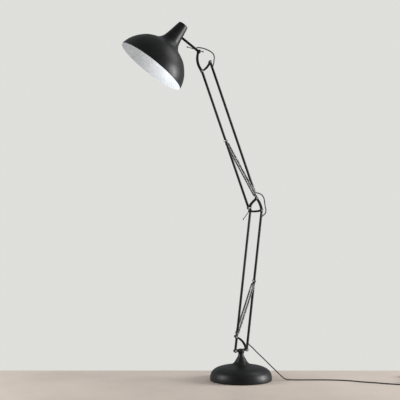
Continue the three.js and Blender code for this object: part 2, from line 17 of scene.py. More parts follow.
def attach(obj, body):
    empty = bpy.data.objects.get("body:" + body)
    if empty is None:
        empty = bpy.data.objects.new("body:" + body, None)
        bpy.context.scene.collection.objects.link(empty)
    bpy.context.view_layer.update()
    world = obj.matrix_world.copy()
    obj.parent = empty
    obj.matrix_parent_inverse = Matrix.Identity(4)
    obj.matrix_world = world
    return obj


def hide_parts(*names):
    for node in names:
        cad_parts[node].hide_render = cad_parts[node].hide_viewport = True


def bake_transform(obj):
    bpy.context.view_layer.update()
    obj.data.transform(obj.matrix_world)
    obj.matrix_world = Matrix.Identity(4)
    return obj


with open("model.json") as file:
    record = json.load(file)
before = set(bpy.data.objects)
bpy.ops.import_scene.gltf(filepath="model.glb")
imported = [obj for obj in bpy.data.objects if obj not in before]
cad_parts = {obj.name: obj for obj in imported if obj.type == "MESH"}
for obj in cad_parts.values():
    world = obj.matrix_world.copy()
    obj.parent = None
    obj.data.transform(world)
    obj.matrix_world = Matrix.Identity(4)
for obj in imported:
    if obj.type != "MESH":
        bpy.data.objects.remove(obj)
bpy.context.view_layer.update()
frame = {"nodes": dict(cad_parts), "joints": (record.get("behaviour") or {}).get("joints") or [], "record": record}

# -------- places, on the frame's pivots

RECORD = frame["record"]
JOINTS = {joint["name"]: joint for joint in frame["joints"]}
BODY_OF = {node: body for body, nodes in RECORD["behaviour"]["bodies"].items() for node in nodes}


def pivot(joint):
    """The point of the arm plane that a hinge turns about."""
    return Vector(JOINTS[joint]["pos_m"])


FOOT_FRONT = pivot("lower_front_turn")
FOOT_REAR = pivot("lower_arm_lean")
FOOT_SPRING = pivot("lower_spring_turn")
ELBOW_FRONT = pivot("elbow_screw_turn")
ELBOW_REAR = pivot("elbow_level")
ELBOW_UPPER = pivot("upper_front_turn")
ELBOW_TOP = pivot("upper_arm_lean")
HEAD_REAR = pivot("head_level")
HEAD_FRONT = ELBOW_UPPER + HEAD_REAR - ELBOW_TOP
HEAD_TILT = pivot("head_tilt")

LOWER_RUN = (ELBOW_REAR - FOOT_REAR).normalized()
UPPER_RUN = (HEAD_REAR - ELBOW_TOP).normalized()
LOWER_COLLAR_AT = 0.335
UPPER_COLLAR_AT = 0.344
LOWER_ANCHOR = FOOT_REAR + LOWER_RUN * LOWER_COLLAR_AT
UPPER_ANCHOR = ELBOW_UPPER + UPPER_RUN * UPPER_COLLAR_AT

SHADE_LEAN = math.radians(37.8)
SHADE_UP = Vector((math.sin(SHADE_LEAN), 0, math.cos(SHADE_LEAN)))
ROD_RUN = Vector((math.cos(SHADE_LEAN), 0, -math.sin(SHADE_LEAN)))
ROD_REACH = 0.134
ROD_HEIGHT = 0.204
SHADE_MOUTH = HEAD_TILT - ROD_RUN * ROD_REACH - SHADE_UP * ROD_HEIGHT

TUBE_RADIUS = 0.006
TUBE_BORE = 0.005
TUBE_END = 0.006
COLLAR_RADIUS = 0.008
PLATE_INNER = 0.0065
PLATE_OUTER = 0.0095
BAR_WIDTH = 0.0094
BOLT_RADIUS = 0.0027
SPRING_Y = 0.022
STUD_RADIUS = 0.0023
STUD_END = 0.027
STUD_HEAD = 0.0044
CORD_RADIUS = 0.0029
ROD_RADIUS = 0.006
GAP = 0.0003
SIDES = {"near": -1, "far": 1}

# -------- camera

CAMERA_DISTANCE = 5.129
CAMERA_HEIGHT = 0.872
CAMERA_TURN = math.radians(11)  # to the right of +Y
CAMERA_ASIDE = 0.1984  # the base's axis is this far to the right of the view's centre line
SENSOR = 36.0
LENS_IN_SENSORS = 2.65  # the focal length, in widths of the sensor


def add_camera():
    ahead = Vector((math.sin(CAMERA_TURN), math.cos(CAMERA_TURN), 0))
    right = Vector((math.cos(CAMERA_TURN), -math.sin(CAMERA_TURN), 0))
    data = bpy.data.cameras.new("camera")
    data.sensor_width = SENSOR
    data.lens = SENSOR * LENS_IN_SENSORS
    data.clip_end = 100
    camera = bpy.data.objects.new("camera", data)
    camera.location = -ahead * CAMERA_DISTANCE - right * CAMERA_ASIDE + Vector((0, 0, CAMERA_HEIGHT))
    camera.rotation_euler = (math.radians(90), 0, -CAMERA_TURN)
    bpy.context.scene.collection.objects.link(camera)
    bpy.context.scene.camera = camera


add_camera()

# -------- outlines and paths


def curve_through(points, spacing):
    """Points about `spacing` apart on the centripetal Catmull-Rom curve through the given ones."""
    points = [Vector(p) for p in points]
    points = [points[0] * 2 - points[1], *points, points[-1] * 2 - points[-2]]
    path = []
    for a, b, c, d in zip(points, points[1:], points[2:], points[3:]):
        ta = 0
        tb = ta + math.sqrt((b - a).length)
        tc = tb + math.sqrt((c - b).length)
        td = tc + math.sqrt((d - c).length)
        steps = max(1, round((c - b).length / spacing))
        for k in range(steps):
            t = tb + (tc - tb) * k / steps
            ab = a.lerp(b, (t - ta) / (tb - ta))
            bc = b.lerp(c, (t - tb) / (tc - tb))
            cd = c.lerp(d, (t - tc) / (td - tc))
            abc = ab.lerp(bc, (t - ta) / (tc - ta))
            bcd = bc.lerp(cd, (t - tb) / (td - tb))
            path.append(abc.lerp(bcd, (t - tb) / (tc - tb)))
    path.append(points[-2])
    return path


def smooth_outline(points, spacing):
    """An outline to turn about Z, curved through the points and never past the axis."""
    path = curve_through([(r, 0, z) for r, z in points], spacing)
    return [Vector((max(p.x, 0), p.z)) for p in path]


def softened(outline, radius, closed=False, steps=3):
    """The outline with each corner rounded off."""
    outline = [Vector(p) for p in outline]
    soft = []
    for k, corner in enumerate(outline):
        if not closed and k in (0, len(outline) - 1):
            soft.append(corner)
            continue
        before = outline[k - 1] - corner
        after = outline[(k + 1) % len(outline)] - corner
        start = corner + before.normalized() * min(radius, before.length * 0.45)
        end = corner + after.normalized() * min(radius, after.length * 0.45)
        for s in range(steps + 1):
            t = s / steps
            soft.append(start * (1 - t) ** 2 + corner * 2 * t * (1 - t) + end * t * t)
    return soft


def inside_of(outline, wall):
    """The outline moved to its left by the wall, running back the other way."""
    inner = []
    for k, point in enumerate(outline):
        run = outline[min(k + 1, len(outline) - 1)] - outline[max(k - 1, 0)]
        run.normalize()
        inner.append(Vector((max(point.x - run.y * wall, 0), point.y + run.x * wall)))
    inner.reverse()
    return inner


def length_of(path):
    return sum((b - a).length for a, b in zip(path, path[1:]))


# -------- meshes


def upright(at, up=Vector((0, 0, 1))):
    """A place whose Z axis is `up` and whose X axis stays in the arm plane where it can."""
    up = Vector(up).normalized()
    side = Vector((0, 1, 0)) if abs(up.y) < 0.9 else Vector((1, 0, 0))
    x = side.cross(up).normalized()
    y = up.cross(x)
    turn = Matrix((x, y, up)).transposed()
    return Matrix.Translation(at) @ turn.to_4x4()


def across(point, sign=1):
    """A place at a pivot whose Z axis points to the far side, or to the near side with sign -1."""
    return upright(point, Vector((0, sign, 0)))


def revolve(bm, outline, sides, place=Matrix(), closed=False):
    """A surface turned about the place's Z axis. A closed outline is the section of a ring."""
    rings = []
    for r, z in outline:
        count = 1 if r < 1e-7 else sides
        turns = [2 * math.pi * k / sides for k in range(count)]
        rings.append([bm.verts.new(place @ Vector((r * math.cos(a), r * math.sin(a), z))) for a in turns])
    pairs = list(zip(rings, rings[1:]))
    if closed:
        pairs.append((rings[-1], rings[0]))
    faces = []
    for a, b in pairs:
        for k in range(sides):
            n = (k + 1) % sides
            corners = [a[k % len(a)], a[n % len(a)], b[n % len(b)], b[k % len(b)]]
            corners = list(dict.fromkeys(corners))
            if len(corners) > 2:
                faces.append(bm.faces.new(corners))
    return faces


def join_rings(bm, a, b):
    """A band of faces between two rings with the same number of points."""
    for k in range(len(a)):
        n = (k + 1) % len(a)
        bm.faces.new([a[k], a[n], b[n], b[k]])


def sweep(bm, path, radius, sides):
    """A round bar along a path, with a flat face at each end."""
    last = len(path) - 1
    side = None
    rings = []
    for k, point in enumerate(path):
        run = (path[min(k + 1, last)] - path[max(k - 1, 0)]).normalized()
        if side is None:
            side = run.orthogonal().normalized()
        side = (side - run * side.dot(run)).normalized()
        up = run.cross(side)
        turns = [2 * math.pi * s / sides for s in range(sides)]
        spokes = [(side * math.cos(a) + up * math.sin(a)) * radius for a in turns]
        rings.append([bm.verts.new(point + spoke) for spoke in spokes])
    for a, b in zip(rings, rings[1:]):
        join_rings(bm, a, b)
    bm.faces.new(rings[0])
    bm.faces.new(rings[-1])


def loft(bm, rings):
    """A closed skin over rings with the same number of points."""
    rows = [[bm.verts.new(p) for p in ring] for ring in rings]
    for a, b in zip(rows, rows[1:]):
        join_rings(bm, a, b)
    bm.faces.new(rows[0])
    bm.faces.new(rows[-1])


def mesh_object(name, bm, materials, sharp=35):
    """An object from a mesh, smooth but for its edges over `sharp` degrees."""
    bmesh.ops.recalc_face_normals(bm, faces=bm.faces)
    mesh = bpy.data.meshes.new(name)
    bm.to_mesh(mesh)
    bm.free()
    mesh.shade_smooth()
    mesh.set_sharp_from_angle(angle=math.radians(sharp))
    for material in materials if isinstance(materials, list) else [materials]:
        mesh.materials.append(material)
    obj = bpy.data.objects.new(name, mesh)
    bpy.context.scene.collection.objects.link(obj)
    return obj


def subtract(obj, cutters):
    """Cuts the cutters, which are meshes being made, out of the object."""
    sharp = math.radians(35)
    for bm in cutters:
        tool = mesh_object("tool", bm, [])
        cut = obj.modifiers.new("cut", "BOOLEAN")
        cut.solver = "EXACT"
        cut.object = tool
        graph = bpy.context.evaluated_depsgraph_get()
        mesh = bpy.data.meshes.new_from_object(obj.evaluated_get(graph))
        obj.modifiers.clear()
        obj.data = mesh
        bpy.data.objects.remove(tool)
    obj.data.shade_smooth()
    obj.data.set_sharp_from_angle(angle=sharp)
    return obj


def stand_for(obj, *nodes):
    """The object rides on its CAD nodes' body and is shown in their place."""
    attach(obj, BODY_OF[nodes[0]])
    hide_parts(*nodes)
    return obj


def look(node, bm, materials, sharp=35):
    return stand_for(mesh_object(f"{node}_look", bm, materials, sharp), node)


# -------- materials


class Finish:
    """A procedural material: a Principled shader and the textures that drive it."""

    def __init__(self, name, metallic=0.0, specular=0.5):
        self.material = bpy.data.materials.new(name)
        self.material.use_nodes = True
        self.tree = self.material.node_tree
        self.shader = self.tree.nodes["Principled BSDF"]
        self.shader.inputs["Metallic"].default_value = metallic
        self.shader.inputs["Specular IOR Level"].default_value = specular
        self.place = self.tree.nodes.new("ShaderNodeTexCoord").outputs["Object"]

    def link(self, source, target):
        self.tree.links.new(source, target)

    def noise(self, scale, detail=3.0, stretch=None):
        """Noise with features about 1/scale metres across, drawn out along an axis by `stretch`."""
        node = self.tree.nodes.new("ShaderNodeTexNoise")
        node.inputs["Scale"].default_value = scale
        node.inputs["Detail"].default_value = detail
        source = self.place
        if stretch:
            mapping = self.tree.nodes.new("ShaderNodeMapping")
            mapping.inputs["Scale"].default_value = stretch
            self.link(source, mapping.inputs["Vector"])
            source = mapping.outputs["Vector"]
        self.link(source, node.inputs["Vector"])
        return node.outputs["Fac"]

    def ramp(self, source, low, high, start=0.35, end=0.65):
        node = self.tree.nodes.new("ShaderNodeValToRGB")
        first, second = node.color_ramp.elements
        first.position, second.position = start, end
        first.color = (*low, 1) if isinstance(low, tuple) else (low, low, low, 1)
        second.color = (*high, 1) if isinstance(high, tuple) else (high, high, high, 1)
        self.link(source, node.inputs["Fac"])
        return node.outputs["Color"]

    def lighten(self, base, colour, mask):
        node = self.tree.nodes.new("ShaderNodeMix")
        node.data_type = "RGBA"
        self.link(mask, node.inputs["Factor"])
        self.link(base, node.inputs["A"])
        node.inputs["B"].default_value = (*colour, 1)
        return node.outputs["Result"]

    def edges(self, start, end, most):
        """A mask that is `most` on the sharpest edges and nothing on flat stretches."""
        point = self.tree.nodes.new("ShaderNodeNewGeometry").outputs["Pointiness"]
        return self.ramp(point, 0.0, most, start, end)

    def colour(self, source):
        self.link(source, self.shader.inputs["Base Color"])
        return self

    def roughness(self, source):
        self.link(source, self.shader.inputs["Roughness"])
        return self

    def bump(self, source, depth, strength=1.0):
        node = self.tree.nodes.new("ShaderNodeBump")
        node.inputs["Strength"].default_value = strength
        node.inputs["Distance"].default_value = depth
        self.link(source, node.inputs["Height"])
        self.link(node.outputs["Normal"], self.shader.inputs["Normal"])
        return self


def satin_black(name, tone, rough):
    """Satin powder coat: a faint orange peel, cloudy gloss and edges rubbed a little paler."""
    finish = Finish(name, specular=0.25)
    cloud = finish.ramp(finish.noise(16), (tone, tone, tone * 1.06), (tone * 1.5, tone * 1.5, tone * 1.56))
    finish.colour(finish.lighten(cloud, (0.06, 0.06, 0.062), finish.edges(0.52, 0.6, 0.35)))
    finish.roughness(finish.ramp(finish.noise(90, 4), rough - 0.04, rough + 0.05))
    finish.bump(finish.noise(900, 2), 0.00004, 0.22)
    return finish.material


def satin_white():
    finish = Finish("satin_white")
    finish.colour(finish.ramp(finish.noise(22, 4), (0.7, 0.73, 0.76), (0.76, 0.79, 0.82)))
    finish.roughness(finish.ramp(finish.noise(70, 4), 0.42, 0.55))
    finish.bump(finish.noise(800, 2), 0.00004, 0.4)
    return finish.material


def metal(name, colour, dark, rough, stretch=(1, 1, 1)):
    """Plated or drawn steel: uneven gloss, with darker grime in patches."""
    finish = Finish(name, metallic=1.0)
    finish.colour(finish.ramp(finish.noise(60, 5), dark, colour, 0.32, 0.55))
    finish.roughness(finish.ramp(finish.noise(500, 4, stretch), rough - 0.08, rough + 0.12))
    finish.bump(finish.noise(1400, 3, stretch), 0.00002, 0.5)
    return finish.material


def cast_iron():
    finish = Finish("cast_iron_skin", metallic=0.6)
    finish.colour(finish.ramp(finish.noise(120, 6), (0.035, 0.033, 0.032), (0.09, 0.085, 0.082)))
    finish.roughness(finish.ramp(finish.noise(60, 4), 0.65, 0.9))
    finish.bump(finish.noise(380, 6), 0.0004, 0.8)
    return finish.material


def rubbery(name, low, high, rough, grain, depth):
    """Rubber, sleeve or moulded plastic: a mottled tone and a fine grain."""
    finish = Finish(name, specular=0.45)
    finish.colour(finish.ramp(finish.noise(45, 5), low, high))
    finish.roughness(finish.ramp(finish.noise(120, 4), rough - 0.06, rough + 0.08))
    finish.bump(finish.noise(grain, 3), depth, 0.6)
    return finish.material


def opal_glass():
    finish = Finish("opal_glass_skin")
    finish.colour(finish.ramp(finish.noise(40, 3), (0.86, 0.86, 0.83), (0.93, 0.93, 0.9)))
    finish.roughness(finish.ramp(finish.noise(80, 3), 0.16, 0.24))
    finish.bump(finish.noise(500, 2), 0.00002, 0.3)
    finish.shader.inputs["Subsurface Weight"].default_value = 0.3
    finish.shader.inputs["Subsurface Radius"].default_value = (0.01, 0.01, 0.01)
    finish.shader.inputs["Coat Weight"].default_value = 0.3
    return finish.material


# One black powder coat in two copies: the lamp shade's is painted lighter (tone 0.0072 against 0.005). This is
# painted light, for the brighter light the shade catches.
BLACK_PAINT = satin_black("satin_black", 0.005, 0.43)
SHADE_PAINT_PAINTED_LIGHTER = satin_black("satin_black_shade_painted_lighter", 0.0072, 0.41)
WHITE_PAINT = satin_white()
ZINC = metal("zinc_plate", (0.46, 0.455, 0.44), (0.26, 0.255, 0.245), 0.34)
SPRING_STEEL = metal("spring_wire", (0.235, 0.23, 0.222), (0.11, 0.106, 0.1), 0.38)
IRON = cast_iron()
RUBBER = rubbery("rubber_pad_skin", (0.016, 0.016, 0.017), (0.028, 0.028, 0.029), 0.8, 700, 0.0001)
SLEEVE = rubbery("cord_sleeve_skin", (0.036, 0.038, 0.041), (0.056, 0.058, 0.062), 0.52, 900, 0.00004)
PLASTIC = rubbery("black_plastic_skin", (0.014, 0.014, 0.015), (0.022, 0.022, 0.023), 0.42, 1600, 0.00006)
OPAL = opal_glass()

# -------- cords

MAINS_DROP = [
    (0.0438, -0.001, 0.168), (0.055, -0.006, 0.1575), (0.0735, -0.013, 0.1375), (0.092, -0.0175, 0.1195),
    (0.111, -0.021, 0.101), (0.13, -0.0255, 0.0815), (0.149, -0.03, 0.0625), (0.168, -0.0345, 0.0435),
    (0.187, -0.039, 0.0248), (0.199, -0.042, 0.0136), (0.211, -0.0446, 0.0062), (0.226, -0.048, 0.0033),
]
MAINS_FLOOR_RUN = [
    (0.244, -0.053), (0.266, -0.059), (0.298, -0.0645), (0.334, -0.07), (0.378, -0.079),
    (0.422, -0.091), (0.466, -0.107), (0.506, -0.128), (0.54, -0.158), (0.572, -0.183),
    (0.604, -0.203), (0.636, -0.229), (0.668, -0.252), (0.696, -0.271), (0.716, -0.2815),
    (0.735, -0.282), (0.75, -0.274),
]
MAINS_ROUTE = [*MAINS_DROP, *[(x, y, CORD_RADIUS) for x, y in MAINS_FLOOR_RUN]]
HEAD_LOOP = [
    (-0.1382, 1.518), (-0.1345, 1.531), (-0.133, 1.546), (-0.1318, 1.56), (-0.137, 1.575),
    (-0.15, 1.586), (-0.166, 1.594), (-0.184, 1.6), (-0.2, 1.603), (-0.213, 1.6035),
]
HEAD_LOOP_MIDDLE = 3
ELBOW_LOOP = [
    (0.076, 0.908), (0.087, 0.9045), (0.099, 0.9), (0.109, 0.891), (0.1155, 0.877), (0.1184, 0.858),
    (0.1215, 0.838), (0.1245, 0.822), (0.1225, 0.8095), (0.1145, 0.8005), (0.1065, 0.794),
]
ELBOW_LOOP_MIDDLE = 5
CORD_HIDDEN = 0.042

SWITCH_END = Vector((0.7866, -0.1956, 0))
SWITCH_TURN = math.radians(68.3)
SWITCH_LENGTH = 0.062
SWITCH_WIDTH = 0.029
SWITCH_HEIGHT = 0.019
ALONG = Vector((math.cos(SWITCH_TURN), math.sin(SWITCH_TURN), 0))
ACROSS = Vector((math.sin(SWITCH_TURN), -math.cos(SWITCH_TURN), 0))
COIL_CENTRE = (0.052, 0.02)
COIL_RADII = (0.038, 0.032, 0.026)
COIL_LIFT = 0.0009  # the coil rests on its tie
COIL_TURNS = 5
PLUG_START = 0.104
PLUG_ACROSS = -0.0155
PLUG_HEIGHT = 0.0071


def on_floor(along, across_it, z=CORD_RADIUS):
    """A point placed along and across the foot switch's long axis."""
    return SWITCH_END + ALONG * along + ACROSS * across_it + Vector((0, 0, z))


def ease(t):
    t = min(max(t, 0), 1)
    return t * t * (3 - 2 * t)


def coil_points():
    """The turns of the coil: three outwards-in on the floor, then back outwards on top of them."""
    outer, middle, inner = COIL_RADII
    pitch = outer - middle
    climb = 2 * CORD_RADIUS + 0.00015
    step = 1 / 24
    start = -1 / 6
    points = []
    for k in range(round((COIL_TURNS - start) / step) + 1):
        turn = start + k * step
        shifts = sum(ease((turn - n) * 3 + 0.5) for n in range(3))
        top = ease((turn - 2.45) / 0.38)
        outwards = ease((turn - 3.2) / 0.3) + ease((turn - 4.2) / 0.3)
        radius = outer + pitch - pitch * shifts + pitch * outwards
        angle = 2 * math.pi * turn - math.pi / 2
        height = CORD_RADIUS + COIL_LIFT * ease((turn - start) * 4) + climb * top
        along = COIL_CENTRE[0] + radius * math.cos(angle)
        points.append(on_floor(along, COIL_CENTRE[1] + radius * math.sin(angle), height))
    return points


def hidden_in(point, run):
    """The two points of a cord's route that lie inside a tube, near the tube's pivot."""
    return [point + run * d for d in (CORD_HIDDEN, CORD_HIDDEN - 0.005)]


def mains_path():
    """The free cord's centreline, from inside the tube to the plug."""
    hidden = hidden_in(FOOT_REAR, LOWER_RUN)
    to_switch = [on_floor(-SWITCH_LENGTH - 0.008, 0), on_floor(-SWITCH_LENGTH, 0)]
    through = [on_floor(-SWITCH_LENGTH / 2, 0), on_floor(0, 0), on_floor(0.007, -0.0003)]
    tail = [
        on_floor(COIL_CENTRE[0] + 0.014, -0.0172, 0.0088),
        on_floor(COIL_CENTRE[0] + 0.028, -0.016, 0.0082),
        on_floor(PLUG_START - 0.006, PLUG_ACROSS, PLUG_HEIGHT + 0.0001),
        on_floor(PLUG_START + 0.004, PLUG_ACROSS, PLUG_HEIGHT),
    ]
    floor_run = [*MAINS_ROUTE, *to_switch, *through]
    spacing = 0.004
    return curve_through([*hidden, *floor_run, *coil_points(), *tail], spacing)


def ring_at(path, distance):
    """The index of the path's point nearest to a distance along it."""
    run = 0
    for k, (a, b) in enumerate(zip(path, path[1:])):
        if run >= distance:
            return k
        run += (b - a).length
    return len(path) - 1


def index_near(path, point):
    """The index of the path's point nearest to a point."""
    return min(range(len(path)), key=lambda k: (path[k] - point).length)


def strain_relief(name, path, start, end, wide, narrow, body):
    """A ribbed tapered sleeve on a stretch of a cord."""
    bm = bmesh.new()
    ribs = 5
    stretch = path[start : end + 1]
    length = length_of(stretch)
    place = upright(stretch[0], stretch[-1] - stretch[0])
    outline = [(CORD_RADIUS * 0.9, 0), (wide, 0)]
    for k in range(ribs):
        at = length * (k + 0.5) / ribs
        radius = wide + (narrow - wide) * (k + 0.5) / ribs
        groove = length * 0.16 / ribs
        floor_radius = radius - 0.0006
        outline += [(radius, at - groove * 1.6), (floor_radius, at - groove)]
        outline += [(floor_radius, at + groove), (radius, at + groove * 1.6)]
    outline += [(narrow, length), (CORD_RADIUS * 0.9, length)]
    revolve(bm, softened(outline, 0.0003, closed=True, steps=2), 24, place, closed=True)
    for vert in bm.verts:
        vert.co.z = max(vert.co.z, 0)  # its underside is flat, on the floor
    piece = mesh_object(name, bm, PLASTIC)
    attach(piece, body)
    return piece


def rounded_ring(length, width, radius, inset, steps=6):
    """The points of a rounded rectangle, all its sides moved in by the inset."""
    radius = max(radius - inset, 0.0004)
    x = length / 2 - inset - radius
    y = width / 2 - inset - radius
    points = []
    for cx, cy, start in ((x, -y, -90), (x, y, 0), (-x, y, 90), (-x, -y, 180)):
        for s in range(steps + 1):
            angle = math.radians(start + 90 * s / steps)
            points.append(Vector((cx + radius * math.cos(angle), cy + radius * math.sin(angle), 0)))
    return points


def rounded_block(bm, size, radius, bottom, top, edge, place, crown=0.0):
    """A block with a rounded outline, rounded edges and a slightly crowned top."""
    length, width = size
    rings = []
    steps = 4

    def add_ring(inset, height):
        ring = rounded_ring(length, width, radius, inset)
        rings.append([place @ (p + Vector((0, 0, height))) for p in ring])

    for s in range(steps + 1):
        angle = math.pi / 2 * s / steps
        inset = edge * (1 - math.sin(angle))
        height = bottom + edge * (1 - math.cos(angle))
        add_ring(inset, height)
    for s in range(steps + 1):
        angle = math.pi / 2 * s / steps
        inset = edge * (1 - math.cos(angle))
        height = top - crown - edge * (1 - math.sin(angle))
        add_ring(inset, height)
    for share in (0.25, 0.5, 0.75):
        inset = edge + (width / 2 - edge) * share * 0.9
        height = top - crown * (1 - share) ** 2
        add_ring(inset, height)
    loft(bm, rings)


def add_foot_switch():
    middle = on_floor(-SWITCH_LENGTH / 2, 0, 0)
    turn = Matrix.Rotation(SWITCH_TURN, 4, "Z")
    place = Matrix.Translation(middle) @ turn
    bm = bmesh.new()
    rounded_block(bm, (SWITCH_LENGTH, SWITCH_WIDTH), 0.009, 0.0001, SWITCH_HEIGHT, 0.003, place, 0.001)
    housing = mesh_object("foot_switch_body_look", bm, PLASTIC)
    well = bmesh.new()
    well_outline = [(0, 0.008), (0.0083, 0.008), (0.0083, 0.0182), (0.0093, 0.022), (0, 0.022)]
    revolve(well, well_outline, 48, place)
    subtract(housing, [well])
    stand_for(housing, "foot_switch_body")
    bm = bmesh.new()
    cap = [(0, 0.012), (0.0078, 0.012), (0.0078, 0.0218), (0.0066, 0.0225), (0.004, 0.0221), (0, 0.0219)]
    revolve(bm, softened(cap, 0.0006), 48, place)
    button = look("foot_switch_button", bm, PLASTIC)
    return [housing, button]


def add_plug():
    """A flat two-pin plug lying along the floor, with a narrow neck."""
    at = on_floor(PLUG_START, PLUG_ACROSS, PLUG_HEIGHT)
    flat = Matrix((ACROSS, Vector((0, 0, 1)), ALONG)).transposed().to_4x4()
    place = Matrix.Translation(at) @ flat
    bm = bmesh.new()
    profile = [
        (0.0062, 0.0047, 0.0), (0.0065, 0.005, 0.0008), (0.0065, 0.005, 0.012),
        (0.0085, 0.0058, 0.015), (0.0135, 0.0067, 0.018), (0.0165, 0.007, 0.022),
        (0.017, 0.007, 0.026), (0.017, 0.007, 0.0447), (0.0162, 0.0063, 0.046),
    ]
    rings = []
    for half_width, half_height, z in profile:
        ring = rounded_ring(half_width * 2, half_height * 2, min(half_height * 0.95, 0.0055), 0)
        rings.append([place @ (p + Vector((0, 0, z))) for p in ring])
    loft(bm, rings)
    plug = mesh_object("mains_plug_look", bm, [PLASTIC, ZINC], 50)
    pins = bmesh.new()
    for x in (-0.0095, 0.0095):
        pin = [(0, 0.0455), (0.002, 0.0455), (0.002, 0.0635), (0.0011, 0.065), (0, 0.065)]
        revolve(pins, softened(pin, 0.0006), 20, place @ Matrix.Translation((x, 0, 0)))
    pin_piece = mesh_object("plug_pins", pins, ZINC)
    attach(pin_piece, "swivel")
    stand_for(plug, "mains_plug")
    return [plug, pin_piece]


def add_coil_tie():
    """A strap round the coil's section, on the side away from the switch."""
    inner = COIL_RADII[2] - CORD_RADIUS
    outer = COIL_RADII[0] + CORD_RADIUS
    thick = 0.0008
    half_width = 0.005
    bottom = thick
    top = COIL_LIFT + CORD_RADIUS * 4 + 0.0004
    centre = on_floor(COIL_CENTRE[0], COIL_CENTRE[1], 0)
    place = Matrix.Translation(centre) @ Matrix.Rotation(SWITCH_TURN, 4, "Z")
    outline = softened(
        [(inner - 0.0002, bottom), (outer + 0.0002, bottom), (outer + 0.0002, top), (inner - 0.0002, top)],
        0.0028, closed=True, steps=5,
    )
    bm = bmesh.new()
    rows = []
    for y, shrink in ((-half_width, 0), (-half_width, 1), (half_width, 1), (half_width, 0)):
        row = []
        count = len(outline)
        for k, point in enumerate(outline):
            run = (outline[(k + 1) % count] - outline[k - 1]).normalized()
            out = Vector((run.y, -run.x)) * thick * shrink
            row.append(bm.verts.new(place @ Vector((point.x + out.x, y, point.y + out.y))))
        rows.append(row)
    for a, b in zip(rows, rows[1:] + rows[:1]):
        join_rings(bm, a, b)
    tie = mesh_object("coil_tie", bm, PLASTIC)
    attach(tie, "swivel")
    return tie


def add_mains_cord():
    path = mains_path()
    bm = bmesh.new()
    sweep(bm, path, CORD_RADIUS, 16)
    cord = mesh_object("mains_cord_look", bm, SLEEVE, 60)
    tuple(MAINS_ROUTE[0])
    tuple(MAINS_ROUTE[4])
    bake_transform(cord)
    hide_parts("mains_cord", "switch_cord", "cord_coil", "plug_cord")
    switch = add_foot_switch()
    enter = index_near(path, on_floor(-SWITCH_LENGTH, 0))
    leave = index_near(path, on_floor(0, 0))
    sleeves = [
        strain_relief("switch_sleeve_in", path, enter - 2, enter, 0.0036, 0.0048, "swivel"),
        strain_relief("switch_sleeve_out", path, leave, leave + 2, 0.0048, 0.0036, "swivel"),
    ]
    length_of(path)
    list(add_plug())
    add_coil_tie()


add_mains_cord()


def loop_route(start, points, end):
    return [*start, *[Vector((x, 0, z)) for x, z in points], *end]


ELBOW_ROUTE = loop_route(
    hidden_in(ELBOW_TOP, UPPER_RUN), ELBOW_LOOP, hidden_in(ELBOW_REAR, -LOWER_RUN)[::-1]
)
HEAD_ROUTE = loop_route(
    hidden_in(HEAD_REAR, -UPPER_RUN), HEAD_LOOP, [HEAD_TILT - ROD_RUN * d for d in (0.021, 0.028)]
)


def add_loop(route, middle, names, bodies):
    """A cord loop between two tubes, as two pieces that meet at a point of the bracket."""
    hidden = 2
    at = hidden + middle
    path = curve_through(route, 0.002)
    split = index_near(path, route[at])
    halves = [path[: split + 1], path[split:]]
    ends = [(route[hidden], route[at]), (route[at], route[-hidden - 1])]
    for name, half, body_pair, (start, end) in zip(names, halves, bodies, ends):
        bm = bmesh.new()
        sweep(bm, half, CORD_RADIUS, 16)
        piece = mesh_object(f"{name}_look", bm, SLEEVE, 60)
        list(body_pair)
        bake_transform(piece)
        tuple(start)
        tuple(end)
        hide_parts(name)


add_loop(
    ELBOW_ROUTE, ELBOW_LOOP_MIDDLE, ("elbow_loop_upper", "elbow_loop_lower"),
    (("upper_rear", "elbow"), ("elbow", "lower_rear")),
)
add_loop(
    HEAD_ROUTE, HEAD_LOOP_MIDDLE, ("head_loop_arm", "head_loop_rod"),
    (("upper_rear", "head_bracket"), ("head_bracket", "head")),
)

# -------- base


def add_base():
    dome = [
        (0.1485, 0.0012), (0.1502, 0.0045), (0.1506, 0.01), (0.149, 0.024), (0.142, 0.041), (0.128, 0.0545),
        (0.104, 0.065), (0.07, 0.0725), (0.045, 0.0785), (0.033, 0.088), (0.0225, 0.105), (0.0145, 0.12),
        (0.0128, 0.1305),
    ]
    wall = 0.0018
    skin = smooth_outline(dome, 0.0035)
    neck = [(0.012, 0.1308), (0.0056, 0.1308), (0.0056, 0.1275), (0.0105, 0.1275)]
    bm = bmesh.new()
    revolve(bm, [*skin, *neck, *inside_of(skin[:-2], wall)], 128, closed=True)
    look("base_shell", bm, BLACK_PAINT)

    bm = bmesh.new()
    pad = [(0, 0), (0.1405, 0), (0.143, 0.0008), (0.143, 0.0025), (0, 0.0025)]
    revolve(bm, softened(pad, 0.0008), 128)
    look("base_pad", bm, RUBBER)

    bm = bmesh.new()
    washer = [(0.0056, 0.1311), (0.0125, 0.1311), (0.0125, 0.132), (0.0056, 0.132)]
    revolve(bm, softened(washer, 0.0003, closed=True), 64, closed=True)
    look("swivel_washer", bm, PLASTIC)

    bm = bmesh.new()
    hub = [
        (0, 0.1323), (0.0142, 0.1323), (0.0165, 0.136), (0.0165, 0.1455), (0.0128, 0.152), (0, 0.1524),
    ]
    revolve(bm, softened(hub, 0.0022, steps=5), 96)
    look("swivel_hub", bm, BLACK_PAINT)

    for node in ("base_weight", "base_post", "post_nut"):
        material = IRON if node == "base_weight" else ZINC
        frame["nodes"][node].data.materials.clear()
        frame["nodes"][node].data.materials.append(material)


add_base()

# -------- bracket plates


def bar(start, end, bow):
    """The centreline of a curved bar. A positive bow bulges to the left of the way start -> end."""
    side = Vector((start.z - end.z, 0, end.x - start.x)).normalized()
    middle = (start + end) / 2 + side * 2 * bow
    steps = 12
    line = []
    for k in range(steps + 1):
        t = k / steps
        line.append(start * (1 - t) ** 2 + middle * 2 * t * (1 - t) + end * t * t)
    return line


